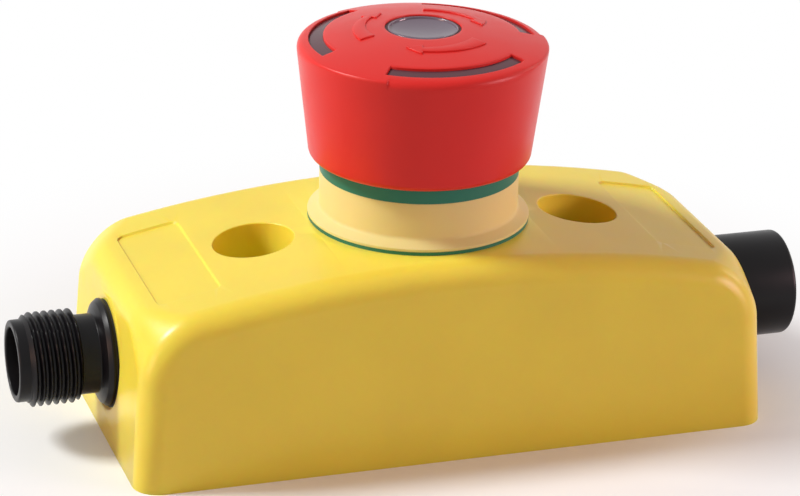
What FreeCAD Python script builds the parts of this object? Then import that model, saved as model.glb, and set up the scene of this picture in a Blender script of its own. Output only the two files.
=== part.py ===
"""Compact in-line emergency stop: a latching, twist-to-release mushroom button on a crowned
housing with a round plug at one end and a round socket at the other. Millimetres, +Z up;
the origin is the centre of the mounting face, the plug points to -X and the socket to +X."""
import FreeCAD, Part
import Sketcher
import math
import os

doc = FreeCAD.newDocument("emergency_stop")
sheet = doc.addObject("Spreadsheet::Sheet", "dim")

SIZES = [
    # Housing moulding
    ("housing_length", 84.0), ("housing_width", 40.0), ("housing_height", 25.85),
    ("crown_radius", 170.0), ("end_lean", 1.3), ("side_lean", 1.3),
    ("shoulder_radius", 3.3), ("corner_radius", 12.0), ("shoulder_flat", 9.5), ("edge_radius", 3.3),
    ("side_wall", 3.0), ("end_wall", 3.2), ("roof", 2.5), ("inner_radius", 4.0),
    ("seat_margin", 0.02), ("seat_thickness", 3.4),
    # Mounting holes and label recesses
    ("hole_spacing", 44.0), ("screw_radius", 2.7), ("counterbore_radius", 5.2),
    ("counterbore_floor", 6.0), ("post_wall", 1.3),
    ("label_inset", 8.8), ("label_length", 8.0), ("label_margin", 8.6), ("label_depth", 0.3),
    ("label_round", 1.0),
    # Base cover and circuit board
    ("cover_thickness", 1.6), ("cover_gap", 0.05), ("peg_radius", 1.6), ("peg_height", 0.8),
    ("board_thickness", 1.6), ("board_end_gap", 4.8), ("board_side_gap", 1.0), ("board_gap", 0.4),
    ("lamp_radius", 2.2), ("lamp_height", 1.5),
    # Connectors
    ("connector_height", 11.0), ("connector_setback", 0.9), ("connector_seat_margin", 0.4),
    ("connector_seal", 0.4), ("shank_radius", 5.4), ("leg_room", 5.6), ("panel_gap", 0.1),
    ("nut_wall", 2.2), ("nut_thickness", 3.0), ("nut_clearance", 0.3),
    ("plug_flange_radius", 7.1), ("plug_flange", 1.5), ("flange_bevel", 0.6),
    ("neck_radius", 5.1), ("neck_length", 2.3), ("thread_radius", 6.0), ("thread_length", 6.7),
    ("thread_bevel", 0.5), ("lead_step", 0.75), ("lead_length", 1.4),
    ("plug_bore", 4.35), ("plug_depth", 8.4), ("insert_gap", 0.05),
    ("pin_radius", 0.5), ("pin_circle", 2.6), ("pin_reach", 6.6), ("first_leg", 0.9),
    ("leg_pitch", 1.2),
    ("socket_radius", 7.0), ("socket_length", 9.9), ("socket_round", 0.5),
    ("socket_wall", 1.4), ("socket_depth", 8.4), ("socket_face", 4.2), ("face_setback", 1.0),
    ("contact_wall", 0.25), ("contact_bore", 0.52), ("contact_mouth", 0.6),
    # Collar and indicator ring
    ("gasket_thickness", 0.45), ("flange_width", 1.47), ("collar_edge", 0.35),
    ("collar_radius", 12.81), ("cone_width", 0.95), ("cone_rise", 0.55),
    ("flare_rise", 1.0), ("flare_radius", 1.3), ("collar_rise", 5.9),
    ("shank_step", 1.91), ("collar_shank_length", 8.85), ("collar_shank_wall", 2.4),
    ("collar_nut_wall", 3.3), ("collar_nut_thickness", 3.0),
    ("ring_wall", 1.61), ("ring_height", 4.4), ("ring_gap", 0.05), ("collar_lip", 0.2),
    ("cup_wall", 2.2), ("spring_seat_rise", 6.7), ("web_thickness", 4.5),
    ("guide_wall", 2.25), ("guide_length", 13.0), ("running_gap", 0.05),
    ("seal_width", 1.45), ("seal_height", 1.7), ("seal_depth", 1.0), ("groove_gap", 0.05),
    ("detent_wire", 0.55), ("detent_place", 9.6), ("detent_depth", 0.4), ("detent_sweep", 320.0),
    # Plunger
    ("travel", 4.0), ("stem_radius", 4.5), ("pipe_radius", 2.4), ("pipe_gap", 0.05),
    ("pipe_bevel", 0.6),
    ("cup_gap", 0.8), ("stem_flange", 1.2), ("journal_step", 0.5),
    ("spring_length", 7.0), ("spring_inset", 2.0), ("spring_wire", 0.35), ("spring_turns", 4.0),
    ("clip_width", 2.1), ("clip_thickness", 0.5), ("clip_depth", 0.5),
    # Contact block
    ("block_length", 25.0), ("block_width", 26.0), ("block_wall", 3.0), ("stop_gap", 0.05),
    ("block_gap", 0.3),
    ("carrier_length", 7.2), ("carrier_side_gap", 0.8), ("carrier_height", 4.4),
    ("carrier_clearance", 0.6), ("slot_edge", 2.3), ("slot_gap", 0.2), ("slot_floor", 0.4),
    ("slot_height", 2.8), ("bar_end_gap", 2.0), ("bar_width", 2.2), ("bar_thickness", 0.6),
    ("bar_spring_length", 1.45), ("bar_spring_radius", 0.8), ("bar_spring_wire", 0.15),
    ("bar_spring_turns", 3.0), ("contact_gap", 0.05), ("contact_lap", 2.5),
    # Button head
    ("ring_show", 2.08), ("cap_height", 17.17), ("skirt_gap", 0.39), ("skirt_land", 0.35),
    ("skirt_wall", 1.15), ("skirt_round", 1.0), ("rim_flare", 1.6), ("rim_height", 14.0),
    ("rim_round", 1.05), ("rim_land", 0.85), ("dome_radius", 57.0),
    ("hub_gap", 0.2), ("hub_height", 4.0), ("hub_plate", 2.5), ("hub_wall", 1.15),
    ("hub_sleeve", 0.95), ("twist_room", 2.6), ("hub_spring_depth", 1.8),
    ("twist_wire", 0.3), ("twist_turns", 1.5), ("twist_pitch", 0.75),
    ("cap_wall", 1.5), ("guide_plate", 1.8), ("mould_gap", 0.05),
    ("window_width", 1.85), ("window_edge", 1.48), ("window_start", 233.4),
    ("window_span", 79.0), ("window_gap", 0.03), ("window_slack", 0.2), ("window_depth", 0.35),
    ("lens_radius", 4.52), ("lens_height", 1.5), ("lens_dish", 0.3), ("lens_setback", 0.12),
    ("lens_seal", 0.28), ("post_step", 0.32),
]
for row, (name, value) in enumerate(SIZES, start=1):
    sheet.set(f"A{row}", str(value))
    sheet.setAlias(f"A{row}", name)
doc.recompute()

# Places worked out from the driving sizes, written as expressions on the sheet
END = "(dim.housing_length / 2)"
SIDE = "(dim.housing_width / 2)"
CROWN_CENTRE = "(dim.housing_height - dim.crown_radius)"
HOLE = "(dim.hole_spacing / 2)"
POST = "(dim.counterbore_radius + dim.post_wall)"
CAVITY_END = f"({END} - dim.end_wall)"
CAVITY_SIDE = f"({SIDE} - dim.side_wall)"
BOARD_END = f"({CAVITY_END} - dim.board_end_gap)"
BOARD_SIDE = f"({CAVITY_SIDE} - dim.board_side_gap)"
BOARD_BASE = "(dim.cover_thickness + dim.peg_height)"
BOARD_TOP = f"({BOARD_BASE} + dim.board_thickness)"
LAMP_TOP = f"({BOARD_TOP} + dim.lamp_height)"
CONNECTOR_SEAT = f"({END} - dim.connector_setback)"
CONNECTOR_SEAT_RADIUS = "(dim.plug_flange_radius + dim.connector_seat_margin)"
NUT_RADIUS = "(dim.shank_radius + dim.nut_wall)"
CONTACT_RADIUS = "(dim.contact_bore + dim.contact_wall)"
CONNECTOR_BACK = f"({CONNECTOR_SEAT} + dim.connector_seal)"
SHANK_END = f"({HOLE} + {POST} + dim.leg_room)"
GASKET_TOP = "(dim.housing_height + dim.gasket_thickness)"
FLANGE_RADIUS = "(dim.collar_radius + dim.flange_width)"
SEAT_RADIUS = f"({FLANGE_RADIUS} + dim.seat_margin)"
COLLAR_SHANK = "(dim.collar_radius - dim.shank_step)"
RING_INNER = "(dim.collar_radius - dim.ring_wall)"
CUP_RADIUS = f"({RING_INNER} - dim.cup_wall)"
RING_SEAT = f"({GASKET_TOP} + dim.collar_rise)"
COLLAR_TOP = f"({RING_SEAT} + dim.ring_height + dim.collar_lip)"
COLLAR_FOOT = "(dim.housing_height - dim.collar_shank_length)"
SPRING_SEAT = f"({GASKET_TOP} + dim.spring_seat_rise)"
GUIDE_FOOT = f"({SPRING_SEAT} - dim.guide_length)"
GUIDE_BORE = "(dim.stem_radius + dim.running_gap)"
SEAL_RADIUS = f"({GUIDE_BORE} + dim.seal_width)"
JOURNAL = "(dim.stem_radius - dim.journal_step)"
DETENT = f"({SPRING_SEAT} - dim.detent_place)"
CARRIER_BASE = f"({BOARD_TOP} + dim.travel + dim.carrier_clearance)"
CARRIER_TOP = f"({CARRIER_BASE} + dim.carrier_height)"
BLOCK_END = "(dim.block_length / 2 - dim.block_wall)"
BLOCK_SIDE = "(dim.block_width / 2 - dim.block_wall)"
CARRIER_SIDE = f"({BLOCK_SIDE} - dim.carrier_side_gap)"
SLOT = f"({CARRIER_SIDE} - dim.slot_edge)"
BAR_END = f"({BLOCK_END} - dim.bar_end_gap)"
BAR_BASE = f"({CARRIER_BASE} + dim.slot_floor + dim.bar_spring_length + dim.contact_gap)"
CONTACT_BASE = f"({BAR_BASE} + dim.bar_thickness + dim.contact_gap)"
STEM_FLANGE = f"({SPRING_SEAT} + dim.spring_length)"
STEM_SHOULDER = f"({STEM_FLANGE} + dim.stem_flange)"
HUB_BASE = f"({STEM_SHOULDER} + dim.hub_gap)"
HUB_TOP = f"({HUB_BASE} + dim.hub_height)"
CLIP_BASE = f"({HUB_BASE} + dim.hub_plate + dim.running_gap)"
STEM_TOP = f"({HUB_TOP} - dim.hub_gap)"
GUIDE_PLATE_TOP = f"({HUB_TOP} + dim.mould_gap + dim.guide_plate)"
CAP_BASE = f"({RING_SEAT} + dim.ring_show)"
CAP_TOP = f"({CAP_BASE} + dim.cap_height)"
CAP_BORE = "(dim.collar_radius + dim.skirt_gap)"
SKIRT = f"({CAP_BORE} + dim.skirt_wall)"
RIM = f"({SKIRT} + dim.rim_flare)"
GUIDE_PLATE = f"({RIM} - dim.cap_wall)"
WINDOW_OUTER = f"({RIM} - dim.window_edge)"
WINDOW_INNER = f"({WINDOW_OUTER} - dim.window_width)"
HUB_BORE = f"({JOURNAL} + dim.running_gap)"
TWIST_INNER = f"({HUB_BORE} + dim.hub_sleeve)"
TWIST_OUTER = f"({TWIST_INNER} + dim.twist_room)"
LENS_HOLE = "(dim.lens_radius + dim.lens_seal + 2 * dim.window_gap)"


def number(text):
    """Value of an expression on the sheet."""
    return float(sheet.evalExpression(text))


def crown(place, drop="0"):
    """Height of the crowned roof at a distance from the middle, less a drop square to it."""
    return f"({CROWN_CENTRE} + sqrt((dim.crown_radius - {drop})^2 - ({place})^2))"


def dome(radius, drop="0"):
    """Height of the cap's domed top at a radius, less a drop."""
    return f"({CAP_TOP} - dim.dome_radius + sqrt(dim.dome_radius^2 - ({radius})^2) - {drop})"


def origin_item(body, role):
    """Plane or axis of a body's own origin."""
    return next(item for item in body.Origin.OriginFeatures if item.Role == role)


def new_body(label):
    """Empty body for one piece."""
    body = doc.addObject("PartDesign::Body", label)
    body.Label = label
    return body


def new_sketch(body, plane, offset="0"):
    """Empty sketch on one of the body's planes, lifted along its normal."""
    sketch = body.newObject("Sketcher::SketchObject", "Sketch")
    sketch.AttachmentSupport = [(origin_item(body, plane), "")]
    sketch.MapMode = "FlatFace"
    sketch.setExpression("AttachmentOffset.Base.z", offset)
    return sketch


def hold(sketch, side, end, x, y):
    """Tie a point of a sketch to two expressions."""
    for kind, axis, text in (("DistanceX", -2, x), ("DistanceY", -1, y)):
        size = number(text)
        if abs(size) < 1e-9:
            sketch.addConstraint(Sketcher.Constraint("PointOnObject", side, end, axis))
            continue
        if size > 0:
            tie = Sketcher.Constraint(kind, -1, 1, side, end, size)
        else:
            tie = Sketcher.Constraint(kind, side, end, -1, 1, -size)
        place = sketch.addConstraint(tie)
        sketch.setExpression(f"Constraints[{place}]", text if size > 0 else f"-({text})")


def add_loop(sketch, corners, arcs=None):
    """Closed loop through corners; arcs maps a side to its radius, negative if it bends right."""
    arcs = arcs or {}
    points = [FreeCAD.Vector(number(x), number(y), 0) for x, y in corners]
    sides = []
    for index, start in enumerate(points):
        end = points[(index + 1) % len(points)]
        if index not in arcs:
            sides.append((sketch.addGeometry(Part.LineSegment(start, end), False), 1, 2))
            continue
        radius = number(arcs[index])
        chord = end - start
        left = FreeCAD.Vector(-chord.y, chord.x, 0).normalize()
        rise = math.copysign(math.sqrt(radius ** 2 - (chord.Length / 2) ** 2), radius)
        centre = (start + end) / 2 + left * rise
        first, last = (start, end) if radius > 0 else (end, start)
        turn = [math.atan2(point.y - centre.y, point.x - centre.x) for point in (first, last)]
        circle = Part.Circle(centre, FreeCAD.Vector(0, 0, 1), abs(radius))
        side = sketch.addGeometry(Part.ArcOfCircle(circle, turn[0], turn[1]), False)
        sides.append((side, 1, 2) if radius > 0 else (side, 2, 1))
    for index, (side, start, end) in enumerate(sides):
        after, after_start, after_end = sides[(index + 1) % len(sides)]
        sketch.addConstraint(Sketcher.Constraint("Coincident", side, end, after, after_start))
    for (side, start, end), (x, y) in zip(sides, corners):
        hold(sketch, side, start, x, y)
    for index, text in arcs.items():
        tie = Sketcher.Constraint("Radius", sides[index][0], abs(number(text)))
        place = sketch.addConstraint(tie)
        sketch.setExpression(f"Constraints[{place}]", f"abs({text})")


def add_circle(sketch, x, y, radius):
    """Circle with its centre and radius tied to expressions."""
    centre = FreeCAD.Vector(number(x), number(y), 0)
    circle = Part.Circle(centre, FreeCAD.Vector(0, 0, 1), number(radius))
    side = sketch.addGeometry(circle, False)
    hold(sketch, side, 3, x, y)
    place = sketch.addConstraint(Sketcher.Constraint("Radius", side, number(radius)))
    sketch.setExpression(f"Constraints[{place}]", radius)


def add_rectangle(sketch, low_x, low_y, high_x, high_y):
    """Rectangle between two corners."""
    add_loop(sketch, [(low_x, low_y), (high_x, low_y), (high_x, high_y), (low_x, high_y)])


def add_hexagon(sketch, radius):
    """Hexagon round the sketch's origin with corners at a radius."""
    half = f"({radius} / 2)"
    flat = f"({radius} * sqrt(0.75))"
    corners = [(radius, "0"), (half, flat), (f"-{half}", flat)]
    corners += [(f"-{radius}", "0"), (f"-{half}", f"-{flat}"), (half, f"-{flat}")]
    add_loop(sketch, corners)


def extrude(body, kind, sketch, length, side="One side", backwards=False):
    """Pad or pocket of a sketch."""
    item = body.newObject(f"PartDesign::{kind}", kind)
    item.Profile = sketch
    item.SideType = side
    item.Reversed = backwards
    item.setExpression("Length", length)
    return item


def spin(body, kind, sketch, axis="V_Axis", angle="360"):
    """Revolution or groove of a sketch round one of its axes."""
    item = body.newObject(f"PartDesign::{kind}", kind)
    item.Profile = sketch
    item.ReferenceAxis = (sketch, [axis])
    item.setExpression("Angle", angle)
    return item


def turned(label, corners, arcs=None):
    """Piece turned about the button's upright axis from a radius and height profile."""
    body = new_body(label)
    sketch = new_sketch(body, "XZ_Plane")
    add_loop(sketch, corners, arcs)
    spin(body, "Revolution", sketch)
    return body


def turned_on_connector(label, corners, arcs=None):
    """Piece turned about the connectors' axis from a place and radius profile."""
    body = new_body(label)
    body.setExpression("Placement.Base.z", "dim.connector_height")
    sketch = new_sketch(body, "XZ_Plane")
    add_loop(sketch, corners, arcs)
    spin(body, "Revolution", sketch, "H_Axis")
    return body


def round_edges(body, base, radius, wanted):
    """Fillet on the edges of a feature whose middle point is wanted."""
    doc.recompute()
    names = []
    for index, edge in enumerate(base.Shape.Edges, start=1):
        middle = edge.valueAt((edge.FirstParameter + edge.LastParameter) / 2)
        if wanted(middle):
            names.append(f"Edge{index}")
    item = body.newObject("PartDesign::Fillet", "Fillet")
    item.Base = (base, names)
    item.setExpression("Radius", radius)
    return item


def box(low_x, low_y, low_z, length, width, height):
    """Upright block with its low corner and sizes tied to expressions."""
    item = doc.addObject("Part::Box", "Block")
    for axis, text in zip("xyz", (low_x, low_y, low_z)):
        item.setExpression(f"Placement.Base.{axis}", text)
    for side, text in zip(("Length", "Width", "Height"), (length, width, height)):
        item.setExpression(side, text)
    return item


def rod(x, y, z, radius, length, lie=None):
    """Round rod from a point, upright or lying along X."""
    item = doc.addObject("Part::Cylinder", "Rod")
    if lie == "x":
        item.Placement.Rotation = FreeCAD.Rotation(FreeCAD.Vector(0, 1, 0), 90)
    for axis, text in zip("xyz", (x, y, z)):
        item.setExpression(f"Placement.Base.{axis}", text)
    item.setExpression("Radius", radius)
    item.setExpression("Height", length)
    return item


def cut(base, tool, label="Cut"):
    """One solid less another."""
    item = doc.addObject("Part::Cut", label)
    item.Base = base
    item.Tool = tool
    item.Label = label
    return item


def fuse(first, second):
    """Two touching solids made one."""
    item = doc.addObject("Part::Fuse", "Fuse")
    item.Base = first
    item.Tool = second
    return item


def group(label, items):
    """Like pieces kept as separate solids in one group."""
    item = doc.addObject("Part::Compound", label)
    item.Links = items
    item.Label = label
    return item


def coil_shape(radius, wire, turns, pitch, foot):
    """Coil spring of hexagonal wire, swept in short straight spans up a helix."""
    spans = 12
    sections = []
    for step in range(int(round(turns * spans)) + 1):
        angle = 2 * math.pi * step / spans
        out = FreeCAD.Vector(math.cos(angle), math.sin(angle), 0)
        middle = out * radius + FreeCAD.Vector(0, 0, foot + pitch * step / spans)
        ring = []
        for corner in range(6):
            lean = 2 * math.pi * corner / 6
            up = FreeCAD.Vector(0, 0, wire * math.sin(lean))
            ring.append(middle + out * (wire * math.cos(lean)) + up)
        sections.append(Part.makePolygon(ring + ring[:1]))
    return Part.makeLoft(sections, True, True)


def spring(label, shapes):
    """Piece whose solids are coil springs."""
    item = doc.addObject("Part::Feature", label)
    item.Shape = shapes[0] if len(shapes) == 1 else Part.makeCompound(shapes)
    item.Label = label
    return item


def make_housing_block():
    """Block of the housing in three slabs side by side: crowned roof, leaning ends and sides."""
    body = new_body("housing_block")
    corner = f"({END} - dim.end_lean)"
    corners = [(f"-{END}", "0"), (END, "0"), (corner, crown(corner)), (f"-{corner}", crown(corner))]
    sketch = new_sketch(body, "XZ_Plane")
    add_loop(sketch, corners, {2: "dim.crown_radius"})
    extrude(body, "Pad", sketch, "2 * dim.shoulder_flat", "Symmetric")
    for sign, backwards in (("", False), ("-", True)):
        sketch = new_sketch(body, "XZ_Plane", f"{sign}dim.shoulder_flat")
        add_loop(sketch, corners, {2: "dim.crown_radius"})
        slab = extrude(body, "Pad", sketch, f"{SIDE} - dim.shoulder_flat", backwards=backwards)
        slab.Refine = False
    sketch = new_sketch(body, "YZ_Plane")
    for sign in ("", "-"):
        add_loop(sketch, [
            (f"{sign}{SIDE}", "0"),
            (f"{sign}{SIDE}", "dim.housing_height"),
            (f"{sign}({SIDE} - dim.side_lean)", "dim.housing_height"),
        ])
    leaned = extrude(body, "Pocket", sketch, "2 * dim.housing_length", "Symmetric")
    leaned.Refine = False
    return body


def round_shoulders(block):
    """Round over both ends: even along the middle slab, wider towards the corners."""
    doc.recompute()
    even, wide = number("dim.shoulder_radius"), number("dim.corner_radius")
    shoulder_x = number(f"{END} - dim.end_lean")
    flat = number("dim.shoulder_flat")
    chosen = []
    first_run = {}
    for index, edge in enumerate(block.Shape.Edges, start=1):
        middle = edge.CenterOfMass
        if abs(abs(middle.x) - shoulder_x) > 0.01:
            continue
        ends = [edge.valueAt(edge.FirstParameter).y, edge.valueAt(edge.LastParameter).y]
        run = ends[1] - ends[0]
        if first_run.setdefault(middle.x > 0, run) * run < 0:
            ends.reverse()
        chosen.append((index, *[wide if abs(place) > flat + 0.01 else even for place in ends]))
    item = doc.addObject("Part::Fillet", "Shoulders")
    item.Base = block
    item.Edges = chosen
    return item


def make_housing_form():
    """Outer form of the housing: the block with its shoulders and its long edges rounded."""
    body = new_body("housing_form")
    body.BaseFeature = round_shoulders(make_housing_block())
    side_y = number(f"{SIDE} - dim.side_lean")
    round_edges(
        body, body.Tip, "dim.edge_radius",
        lambda point: abs(point.y) > side_y - 0.1 and point.z > 0.1)
    return body


def add_seats(body):
    """Flat round seats for the collar on the roof and for the connectors on the end walls."""
    sketch = new_sketch(body, "XY_Plane")
    add_circle(sketch, "0", "0", SEAT_RADIUS)
    extrude(body, "Pad", sketch, "dim.housing_height")
    sketch = new_sketch(body, "YZ_Plane")
    add_circle(sketch, "0", "dim.connector_height", CONNECTOR_SEAT_RADIUS)
    extrude(body, "Pad", sketch, f"2 * {CONNECTOR_SEAT}", "Symmetric")
    for sign, backwards in (("", True), ("-", False)):
        sketch = new_sketch(body, "YZ_Plane", f"{sign}{CONNECTOR_SEAT}")
        add_circle(sketch, "0", "dim.connector_height", CONNECTOR_SEAT_RADIUS)
        extrude(body, "Pocket", sketch, END, backwards=backwards)


def add_openings(body):
    """Collar hole, connector holes and counterbored screw holes."""
    sketch = new_sketch(body, "XY_Plane")
    add_circle(sketch, "0", "0", f"{COLLAR_SHANK} + dim.panel_gap")
    extrude(body, "Pocket", sketch, "2 * dim.housing_height", backwards=True)
    for sign, backwards in (("", True), ("-", False)):
        sketch = new_sketch(body, "YZ_Plane", f"{sign}({CAVITY_END} - dim.nut_thickness)")
        add_circle(sketch, "0", "dim.connector_height", "dim.shank_radius + dim.panel_gap")
        extrude(body, "Pocket", sketch, END, backwards=backwards)
    for foot, radius in (("0", "dim.screw_radius"), ("dim.counterbore_floor", "dim.counterbore_radius")):
        sketch = new_sketch(body, "XY_Plane", foot)
        for sign in ("", "-"):
            add_circle(sketch, f"{sign}{HOLE}", "0", radius)
        extrude(body, "Pocket", sketch, "2 * dim.housing_height", backwards=True)


def make_label_form(side):
    """Form of a label recess: a rounded rectangle whose floor follows the roof."""
    inner = f"({END} - dim.label_inset - dim.label_length / 2)"
    outer = f"({END} - dim.label_inset + dim.label_length / 2)"
    near, far = (inner, outer) if side == "" else (f"-{outer}", f"-{inner}")
    body = new_body("label_form")
    sketch = new_sketch(body, "XZ_Plane")
    corners = [
        (near, crown(near, "dim.label_depth")), (far, crown(far, "dim.label_depth")),
        (far, "2 * dim.housing_height"), (near, "2 * dim.housing_height"),
    ]
    add_loop(sketch, corners, {0: "-(dim.crown_radius - dim.label_depth)"})
    half = f"({SIDE} - dim.label_margin)"
    block = extrude(body, "Pad", sketch, f"2 * {half}", "Symmetric")
    ends, edge_y = [number(near), number(far)], number(half)
    round_edges(
        body, block, "dim.label_round",
        lambda point: min(abs(point.x - end) for end in ends) < 0.01 and abs(abs(point.y) - edge_y) < 0.01)
    return body


def make_housing_core():
    """Hollow of the housing with flat nut seats; the screw posts and collar seat stay standing."""
    body = new_body("housing_core")
    top = crown(CAVITY_END, "dim.roof")
    sketch = new_sketch(body, "XZ_Plane")
    corners = [(f"-{CAVITY_END}", "0"), (CAVITY_END, "0"), (CAVITY_END, top), (f"-{CAVITY_END}", top)]
    add_loop(sketch, corners, {2: "dim.crown_radius - dim.roof"})
    block = extrude(body, "Pad", sketch, f"2 * {CAVITY_SIDE}", "Symmetric")
    end_x = number(CAVITY_END)
    round_edges(
        body, block, "dim.inner_radius",
        lambda point: abs(abs(point.x) - end_x) < 0.01 and abs(point.y) < 0.01 and point.z > 0.1)
    sketch = new_sketch(body, "YZ_Plane")
    add_circle(sketch, "0", "dim.connector_height", f"{NUT_RADIUS} + dim.nut_clearance")
    extrude(body, "Pad", sketch, f"2 * {CAVITY_END}", "Symmetric")
    sketch = new_sketch(body, "XY_Plane")
    for sign in ("", "-"):
        add_circle(sketch, f"{sign}{HOLE}", "0", POST)
    extrude(body, "Pocket", sketch, "2 * dim.housing_height", backwards=True)
    sketch = new_sketch(body, "XY_Plane", "dim.housing_height - dim.seat_thickness")
    add_circle(sketch, "0", "0", SEAT_RADIUS)
    extrude(body, "Pocket", sketch, "dim.housing_height", backwards=True)
    return body


def make_housing_shell():
    """Yellow housing moulding, open underneath."""
    form = make_housing_form()
    add_seats(form)
    add_openings(form)
    for side in ("", "-"):
        form = cut(form, make_label_form(side))
    return cut(form, make_housing_core(), "housing_shell")


def make_base_cover():
    """Plate that closes the underside flush, with pegs that carry the board."""
    body = new_body("base_cover")
    end = f"({CAVITY_END} - dim.cover_gap)"
    side = f"({CAVITY_SIDE} - dim.cover_gap)"
    sketch = new_sketch(body, "XY_Plane")
    add_rectangle(sketch, f"-{end}", f"-{side}", end, side)
    for sign in ("", "-"):
        add_circle(sketch, f"{sign}{HOLE}", "0", f"{POST} + dim.cover_gap")
    extrude(body, "Pad", sketch, "dim.cover_thickness")
    sketch = new_sketch(body, "XY_Plane", "0")
    peg_x = f"({BOARD_END} - 2 * dim.peg_radius)"
    peg_y = f"({BOARD_SIDE} - 2 * dim.peg_radius)"
    for sign_x in ("", "-"):
        for sign_y in ("", "-"):
            add_circle(sketch, f"{sign_x}{peg_x}", f"{sign_y}{peg_y}", "dim.peg_radius")
    extrude(body, "Pad", sketch, BOARD_BASE)
    return body


def make_circuit_board():
    """Board on the cover's pegs, cut away round the screw posts."""
    body = new_body("circuit_board")
    sketch = new_sketch(body, "XY_Plane", BOARD_BASE)
    add_rectangle(sketch, f"-{BOARD_END}", f"-{BOARD_SIDE}", BOARD_END, BOARD_SIDE)
    for sign in ("", "-"):
        add_circle(sketch, f"{sign}{HOLE}", "0", f"{POST} + dim.board_gap")
    extrude(body, "Pad", sketch, "dim.board_thickness")
    return body


def make_status_lamp():
    """Lamp on the board, under the light pipe."""
    ledge = "(dim.lamp_radius - dim.lamp_height / 3)"
    return turned("status_lamp", [
        ("0", BOARD_TOP), ("dim.lamp_radius", BOARD_TOP),
        ("dim.lamp_radius", f"{BOARD_TOP} + dim.lamp_height / 2"), (ledge, LAMP_TOP), ("0", LAMP_TOP),
    ])


def make_plug_shell():
    """Black plug shell: fixing shank, flange, neck, coupling thread and plain lead-in ring."""
    flange = f"({CONNECTOR_BACK} + dim.plug_flange)"
    thread = f"({flange} + dim.neck_length)"
    lead = f"({thread} + dim.thread_length)"
    tip = f"({lead} + dim.lead_length)"
    floor = f"({tip} - dim.plug_depth)"
    bore = "dim.plug_bore"
    ring = "dim.thread_radius - dim.lead_step"
    return turned_on_connector("plug_shell", [
        (f"-{SHANK_END}", bore), (f"-{SHANK_END}", "dim.shank_radius"),
        (f"-{CONNECTOR_BACK}", "dim.shank_radius"), (f"-{CONNECTOR_BACK}", "dim.plug_flange_radius"),
        (f"-({flange} - dim.flange_bevel)", "dim.plug_flange_radius"),
        (f"-{flange}", "dim.plug_flange_radius - dim.flange_bevel"),
        (f"-{flange}", "dim.neck_radius"), (f"-{thread}", "dim.neck_radius"),
        (f"-{thread}", "dim.thread_radius - dim.thread_bevel"),
        (f"-({thread} + dim.thread_bevel)", "dim.thread_radius"),
        (f"-({lead} - dim.thread_bevel)", "dim.thread_radius"),
        (f"-{lead}", ring), (f"-{tip}", ring), (f"-{tip}", bore),
        (f"-{floor}", bore),
    ])


def plug_floor():
    """Place of the pin carrier's face inside the plug."""
    rise = "dim.plug_flange + dim.neck_length + dim.thread_length + dim.lead_length"
    return f"({CONNECTOR_BACK} + {rise} - dim.plug_depth)"


def make_plug_insert():
    """Pin carrier inside the plug shell, drilled for its pins."""
    body = turned_on_connector("plug_insert", [
        (f"-{SHANK_END}", "0"), (f"-{SHANK_END}", "dim.plug_bore - dim.insert_gap"),
        (f"-{plug_floor()}", "dim.plug_bore - dim.insert_gap"), (f"-{plug_floor()}", "0"),
    ])
    drill_pins(body, "dim.pin_radius")
    return body


def pin_places():
    """Row, counted from below, and place across the connector axis of each of the five pins."""
    reach = "dim.pin_circle * sqrt(0.5)"
    places = [(1, "0", "0")]
    for sign in ("", "-"):
        places += [(0, f"{sign}{reach}", f"-{reach}"), (2, f"{sign}{reach}", reach)]
    return places


def drill_pins(body, radius):
    """Five holes through an insert, along the connector axis."""
    sketch = new_sketch(body, "YZ_Plane")
    for row, y, z in pin_places():
        add_circle(sketch, y, z, radius)
    extrude(body, "Pocket", sketch, "2 * dim.housing_length", "Symmetric")


def bent_pin(row, y, z, tip, sign):
    """Pin along the connector axis with a leg bent down to the board, higher rows further in."""
    level = f"(dim.connector_height + {z})"
    bend = f"({SHANK_END} - dim.first_leg - {row} * dim.leg_pitch)"
    foot = f"-{tip}" if sign < 0 else bend
    straight = rod(foot, y, level, "dim.pin_radius", f"{tip} - {bend}", "x")
    leg_x = f"-{bend}" if sign < 0 else bend
    leg = rod(leg_x, y, BOARD_TOP, "dim.pin_radius", f"{level} - {BOARD_TOP}")
    return fuse(straight, leg)


def make_plug_pins():
    """Five gilt pins of the plug."""
    tip = f"({plug_floor()} + dim.pin_reach)"
    return group("plug_pins", [bent_pin(row, y, z, tip, -1) for row, y, z in pin_places()])


def make_connector_seal(label, sign):
    """Flat seal between a connector and its seat on the end wall."""
    return turned_on_connector(label, [
        (f"{sign}{CONNECTOR_SEAT}", "dim.shank_radius + dim.panel_gap"),
        (f"{sign}{CONNECTOR_SEAT}", "dim.plug_flange_radius - dim.panel_gap"),
        (f"{sign}{CONNECTOR_BACK}", "dim.plug_flange_radius - dim.panel_gap"),
        (f"{sign}{CONNECTOR_BACK}", "dim.shank_radius + dim.panel_gap"),
    ])


def make_connector_nut(label, sign):
    """Hexagonal nut that clamps a connector to the end wall from inside."""
    body = new_body(label)
    body.setExpression("Placement.Base.z", "dim.connector_height")
    inside = f"({CAVITY_END} - dim.nut_thickness)"
    foot = inside if sign == "" else f"-{CAVITY_END}"
    sketch = new_sketch(body, "YZ_Plane", foot)
    add_hexagon(sketch, NUT_RADIUS)
    add_circle(sketch, "0", "0", "dim.shank_radius")
    extrude(body, "Pad", sketch, "dim.nut_thickness")
    return body


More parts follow.
